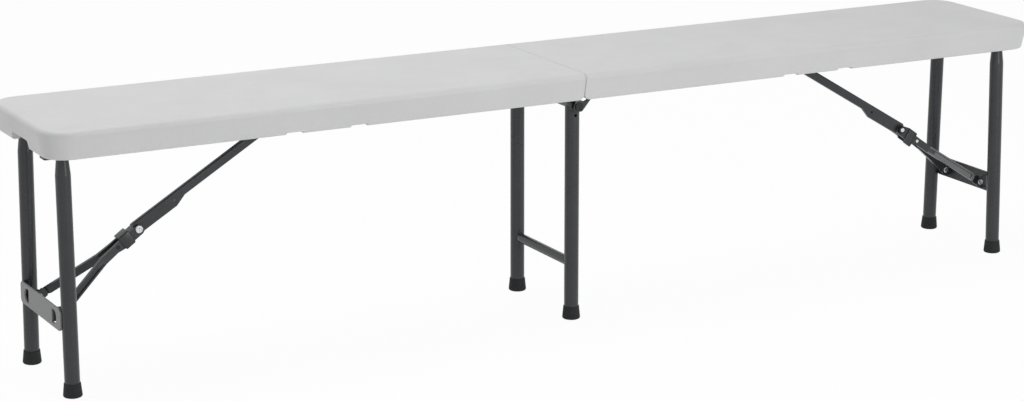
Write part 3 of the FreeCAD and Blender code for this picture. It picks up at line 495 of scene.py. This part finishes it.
class BenchSteelSettings(bpy.types.PropertyGroup):
    """Coats of the steel, the painted light on the cross plates, and sizes of welds, hinge plates
    and saddles
    """
    colour_hex: bpy.props.StringProperty(
        name="Tube colour", description="Powder coat on tubes, rails and arms", default="#343739")
    shade_hex: bpy.props.StringProperty(
        name="Tube shade", description="Darker tone where the coat is thick", default="#2e3133")
    # The cross plates carry the tube coat. These two paler greys are painted light on their outer
    # faces, as lit from the ends of the bench.
    lit_plate_hex: bpy.props.StringProperty(
        name="Plate colour", description="Powder coat on the cross plates", default="#858785")
    lit_plate_shade_hex: bpy.props.StringProperty(
        name="Plate shade", description="Darker tone of the cross plates", default="#7b7d7b")
    peel_mm: bpy.props.FloatProperty(
        name="Orange peel", description="Width of a ripple in the coat, in millimetres",
        default=2.2, min=0.5, max=6.0)
    bead_radius: bpy.props.FloatProperty(
        name="Weld bead", description="Radius of a weld bead",
        default=mm(1.7), min=mm(0.5), max=mm(4), unit="LENGTH")
    neck_radius: bpy.props.FloatProperty(
        name="Neck radius", description="Radius of an end leg where it meets its cross tube",
        default=mm(9), unit="LENGTH")
    neck_place: bpy.props.FloatProperty(
        name="Neck place", description="Distance of an end leg's top from the middle of the bench",
        default=mm(86), unit="LENGTH")
    hinge_corner: bpy.props.FloatProperty(
        name="Hinge plate corner", description="Rounding of a corner of the hinge plates",
        default=mm(1.6), unit="LENGTH")
    saddle_start: bpy.props.FloatProperty(
        name="Saddle place", description="Distance of the saddle from the brace hinge",
        default=mm(15.8), unit="LENGTH")
    saddle_length: bpy.props.FloatProperty(
        name="Saddle length", description="Length of the saddle along the lower arms",
        default=mm(19), unit="LENGTH")
    saddle_inner: bpy.props.FloatProperty(
        name="Saddle reach", description="Half the space between the sides of the saddle",
        default=mm(9.6), unit="LENGTH")
    saddle_plate: bpy.props.FloatProperty(
        name="Saddle plate", description="Thickness of the sides of the saddle",
        default=mm(1.8), unit="LENGTH")
    saddle_underside: bpy.props.FloatProperty(
        name="Saddle underside", description="Height of its underside above the brace hinge",
        default=mm(7.3), unit="LENGTH")
    saddle_top: bpy.props.FloatProperty(
        name="Saddle top", description="Thickness of the top of the saddle",
        default=mm(4.2), unit="LENGTH")
    saddle_long_side: bpy.props.FloatProperty(
        name="Long side", description="Reach of the side by the nut below the brace hinge",
        default=mm(17), unit="LENGTH")
    saddle_short_side: bpy.props.FloatProperty(
        name="Short side", description="Reach of the side by the screw below the brace hinge",
        default=mm(12), unit="LENGTH")
    saddle_corner: bpy.props.FloatProperty(
        name="Saddle corner", description="Rounding of the saddle's lower corners",
        default=mm(2.5), unit="LENGTH")


class BenchFastenerSettings(bpy.types.PropertyGroup):
    """Colours of the zinc"""
    colour_hex: bpy.props.StringProperty(
        name="Colour", description="Bright zinc", default="#d3d5d6")
    shade_hex: bpy.props.StringProperty(
        name="Shade", description="Cloudy zinc", default="#b4b7b8")
    black_hex: bpy.props.StringProperty(
        name="Black zinc", description="Black zinc on the nuts and the axle", default="#3a3b3c")
    black_shade_hex: bpy.props.StringProperty(
        name="Black zinc shade", description="Smoky tone in the black zinc", default="#2c2d2e")


class BenchFootSettings(bpy.types.PropertyGroup):
    """Colours of the foot caps"""
    colour_hex: bpy.props.StringProperty(
        name="Colour", description="Rubber of the foot caps", default="#181a1c")
    bloom_hex: bpy.props.StringProperty(
        name="Bloom", description="Dusty tone on the rubber", default="#232527")


class BenchStageSettings(bpy.types.PropertyGroup):
    """The floor's colour and the camera"""
    floor_hex: bpy.props.StringProperty(
        name="Floor", description="Colour of the floor", default="#ffffff")
    eye: bpy.props.FloatVectorProperty(
        name="Camera place", description="Where the camera stands",
        default=(-2.2236, -4.0483, 1.3810), unit="LENGTH")
    yaw: bpy.props.FloatProperty(
        name="Yaw", description="Turn of the camera from straight on",
        default=0.4906, unit="ROTATION")
    pitch: bpy.props.FloatProperty(
        name="Pitch", description="Downward tilt of the camera", default=0.2329, unit="ROTATION")
    lens: bpy.props.FloatProperty(
        name="Focal length", description="Lens of the camera in millimetres", default=99.59)
    shift: bpy.props.FloatProperty(
        name="Vertical shift", description="Shift of the camera's frame", default=-0.0591)


# Operators

class BENCH_OT_stage(bpy.types.Operator):
    """Sets up the camera, the lamps, the world and the floor"""
    bl_idname = "bench.stage"
    bl_label = "Stage"

    def execute(self, context):
        settings = context.scene.bench_stage
        data = bpy.data.cameras.new("photo_camera")
        data.sensor_width = 36.0
        data.lens = settings.lens
        data.shift_y = settings.shift
        data.clip_end = 50.0
        camera = bpy.data.objects.new("photo_camera", data)
        camera.location = settings.eye
        camera.rotation_euler = Euler((math.pi / 2 - settings.pitch, 0, -settings.yaw))
        context.scene.collection.objects.link(camera)
        context.scene.camera = camera
        for lamp in LAMPS:
            self.lamp(context, *lamp)
        self.world(context)
        self.floor(context, settings)
        context.scene.view_settings.view_transform = "Standard"
        return {"FINISHED"}

    def lamp(self, context, name, place, size, power):
        """A soft lamp of a width and height that looks at the bench."""
        data = bpy.data.lights.new(name + "_softbox", "AREA")
        data.shape = "RECTANGLE"
        data.size, data.size_y = size
        data.energy = power
        lamp = bpy.data.objects.new(name + "_softbox", data)
        lamp.location = place
        lamp.rotation_euler = (LAMP_AIM - Vector(place)).to_track_quat("-Z", "Y").to_euler()
        context.scene.collection.objects.link(lamp)

    def world(self, context):
        """White to the eye and in reflections, a softer pale grey as light."""
        world = bpy.data.worlds.new("pale_studio")
        world.use_nodes = True
        tree = world.node_tree
        tree.nodes.clear()
        soft = add_node(tree, "ShaderNodeBackground", values={
            "Color": (1, 1, 1, 1), "Strength": WORLD_LIGHT})
        white = add_node(tree, "ShaderNodeBackground", values={
            "Color": (1, 1, 1, 1), "Strength": 1.0})
        mix = add_node(tree, "ShaderNodeMixShader", links={
            0: direct_rays(tree), 1: soft.outputs[0], 2: white.outputs[0]})
        add_node(tree, "ShaderNodeOutputWorld", links={"Surface": mix.outputs[0]})
        context.scene.world = world

    def floor(self, context, settings):
        """A wide pale floor that turns nearly white for the camera and keeps a soft shadow."""
        material, tree = new_material("studio_floor")
        paint = add_node(tree, "ShaderNodeBsdfDiffuse", values={
            "Color": linear(settings.floor_hex)})
        glow = add_node(tree, "ShaderNodeEmission", values={
            "Color": (1, 1, 1, 1), "Strength": 1.0})
        share = add_node(tree, "ShaderNodeMath", settings={"operation": "MULTIPLY"}, values={
            1: FLOOR_WHITE}, links={0: direct_rays(tree)})
        mix = add_node(tree, "ShaderNodeMixShader", links={
            0: share.outputs[0], 1: paint.outputs[0], 2: glow.outputs[0]})
        add_node(tree, "ShaderNodeOutputMaterial", links={"Surface": mix.outputs[0]})
        mesh = bpy.data.meshes.new("studio_floor")
        shape = bmesh.new()
        bmesh.ops.create_grid(shape, x_segments=1, y_segments=1, size=FLOOR_REACH)
        shape.to_mesh(mesh)
        shape.free()
        mesh.materials.append(material)
        floor = bpy.data.objects.new("studio_floor", mesh)
        floor.location = (0, 0, -mm(FLOOR_GAP_MM))
        context.scene.collection.objects.link(floor)


class BENCH_OT_seat(bpy.types.Operator):
    """Gives both seat halves their moulded plastic"""
    bl_idname = "bench.seat"
    bl_label = "Seat"

    def execute(self, context):
        dress(named("seat_"), moulded_polyethylene(context.scene.bench_seat))
        return {"FINISHED"}


class BENCH_OT_steelwork(bpy.types.Operator):
    """Gives the tubes, rails and brace arms their dark powder coat"""
    bl_idname = "bench.steelwork"
    bl_label = "Steelwork"

    def execute(self, context):
        pieces = named(
            "leg_back", "leg_front", "leg_pivot_tube", "leg_stop_tabs", "side_rail", "rail_strips",
            "brace_upper_arm", "brace_lower_arm", "brace_rod", "rod_collars", "crossbar", "sleeve")
        dress(pieces, steel_material(context.scene.bench_steel))
        return {"FINISHED"}


class BENCH_OT_plates(bpy.types.Operator):
    """Gives the cross plates the dark tube coat, with a paler grey painted on their outer faces as
    light from the ends
    """
    bl_idname = "bench.plates"
    bl_label = "Cross plates"

    def execute(self, context):
        settings = context.scene.bench_steel
        outer_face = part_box("cross_plate_right")[1].x
        # The paler grey on the outer face and rim is painted light. Nearer the middle, the plate
        # keeps the tube coat.
        dress(named("cross_plate"), powder_coat(
            "plate_coat_painted_light", settings.lit_plate_hex, settings.lit_plate_shade_hex, settings.peel_mm,
            roughness=0.45, inner_hex=settings.colour_hex,
            inner_reach=outer_face - mm(LIT_FACE_MM)))
        return {"FINISHED"}


class BENCH_OT_fasteners(bpy.types.Operator):
    """Gives screws, rivets, nuts, pins and washers their zinc"""
    bl_idname = "bench.fasteners"
    bl_label = "Fasteners"

    def execute(self, context):
        settings = context.scene.bench_fastener
        bright = named("rail_screws", "lug_rivets", "brace_screw", "hinge_rivets", "leg_pivot_pins")
        dress(bright, zinc_plate(settings))
        dress(named("brace_nut"), black_zinc("black_zinc_nut", settings, screw_end_share))
        dress(named("arm_rivets"), black_zinc("black_zinc_rivet", settings, turned_head_share))
        dress(named("hinge_axle", "axle_washers"), black_zinc("black_zinc_axle", settings))
        return {"FINISHED"}


class BENCH_OT_feet(bpy.types.Operator):
    """Gives the foot caps their rubber"""
    bl_idname = "bench.feet"
    bl_label = "Feet"

    def execute(self, context):
        dress(named("foot_"), moulded_rubber(context.scene.bench_foot))
        return {"FINISHED"}


class BENCH_OT_welds(bpy.types.Operator):
    """Adds the weld beads at the crossbar and at the tops of the end legs"""
    bl_idname = "bench.welds"
    bl_label = "Weld beads"

    def execute(self, context):
        settings = context.scene.bench_steel
        steel = steel_material(settings)
        # The crossbar and the middle legs stand in the middle, so they reach one radius from it.
        bar_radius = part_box("crossbar_middle")[1].x
        leg_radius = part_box("leg_back_middle")[1].x
        low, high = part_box("leg_pivot_tube_right")
        tube_radius = (high.z - low.z) / 2
        tube = middle("leg_pivot_tube_right")
        for side_name, side in SIDES.items():
            path = crossbar_seam(
                side, bar_radius, leg_radius, middle("leg_back_middle").y,
                middle("crossbar_middle").z)
            mesh_piece(
                "weld_crossbar_" + side_name, bead(path, settings.bead_radius), "middle_legs",
                steel)
            for end_name, end in ENDS.items():
                path = neck_seam(
                    end, side, settings.neck_radius, tube_radius, tube.x, settings.neck_place,
                    tube.z)
                mesh_piece(
                    "weld_neck_" + side_name + "_" + end_name, bead(path, settings.bead_radius),
                    "end_legs_" + end_name, steel)
        return {"FINISHED"}


class BENCH_OT_hinge_plates(bpy.types.Operator):
    """Replaces the hinge plates by narrower pressed ones"""
    bl_idname = "bench.hinge_plates"
    bl_label = "Hinge plates"

    def execute(self, context):
        settings = context.scene.bench_steel
        axle = middle("hinge_axle")
        for end_name, end in ENDS.items():
            outline = [(end * (axle.x + mm(x)), axle.z + mm(z)) for x, z in HINGE_PLATE_OUTLINE]
            for side_name in SIDES:
                node = "hinge_plate_" + side_name + "_" + end_name
                near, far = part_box(node)
                plate = pressed_plate(outline, near.y, far.y, settings.hinge_corner)
                piece = mesh_piece(
                    "pressed_" + node, plate, end_name + "_half", steel_material(settings))
                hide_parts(node)
        return {"FINISHED"}


class BENCH_OT_saddles(bpy.types.Operator):
    """Replaces the saddles of the braces by narrower ones with one long and one short side"""
    bl_idname = "bench.saddles"
    bl_label = "Saddles"

    def execute(self, context):
        settings = context.scene.bench_steel
        for end_name, end in ENDS.items():
            piece = mesh_piece(
                "bent_saddle_" + end_name, bent_saddle(settings, end), "upper_arm_" + end_name,
                steel_material(settings))
            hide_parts("brace_saddle_" + end_name)
        return {"FINISHED"}


class BENCH_PT_panel(bpy.types.Panel):
    """Lists the steps that dress the bench"""
    bl_idname = "BENCH_PT_panel"
    bl_label = "Bench"
    bl_space_type = "VIEW_3D"
    bl_region_type = "UI"
    bl_category = "Bench"

    def draw(self, context):
        for group, operators in STEPS:
            box = self.layout.box()
            settings = getattr(context.scene, group)
            for name in settings.__annotations__:
                box.prop(settings, name)
            for operator in operators:
                box.operator(operator)


STEPS = [
    ("bench_stage", ["bench.stage"]),
    ("bench_seat", ["bench.seat"]),
    ("bench_steel", [
        "bench.steelwork", "bench.plates", "bench.welds", "bench.hinge_plates", "bench.saddles"]),
    ("bench_fastener", ["bench.fasteners"]),
    ("bench_foot", ["bench.feet"]),
]
GROUPS = {
    "bench_stage": BenchStageSettings,
    "bench_seat": BenchSeatSettings,
    "bench_steel": BenchSteelSettings,
    "bench_fastener": BenchFastenerSettings,
    "bench_foot": BenchFootSettings,
}
CLASSES = list(GROUPS.values()) + [
    BENCH_OT_stage, BENCH_OT_seat, BENCH_OT_steelwork, BENCH_OT_plates, BENCH_OT_fasteners,
    BENCH_OT_feet, BENCH_OT_welds, BENCH_OT_hinge_plates, BENCH_OT_saddles, BENCH_PT_panel]


def register():
    for item in CLASSES:
        bpy.utils.register_class(item)
    for name, group in GROUPS.items():
        setattr(bpy.types.Scene, name, bpy.props.PointerProperty(type=group))


def unregister():
    for name in GROUPS:
        delattr(bpy.types.Scene, name)
    for item in reversed(CLASSES):
        bpy.utils.unregister_class(item)


def main():
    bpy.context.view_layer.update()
    register()
    for _, operators in STEPS:
        for operator in operators:
            module, name = operator.split(".")
            getattr(getattr(bpy.ops, module), name)()


if __name__ == "__main__":
    main()
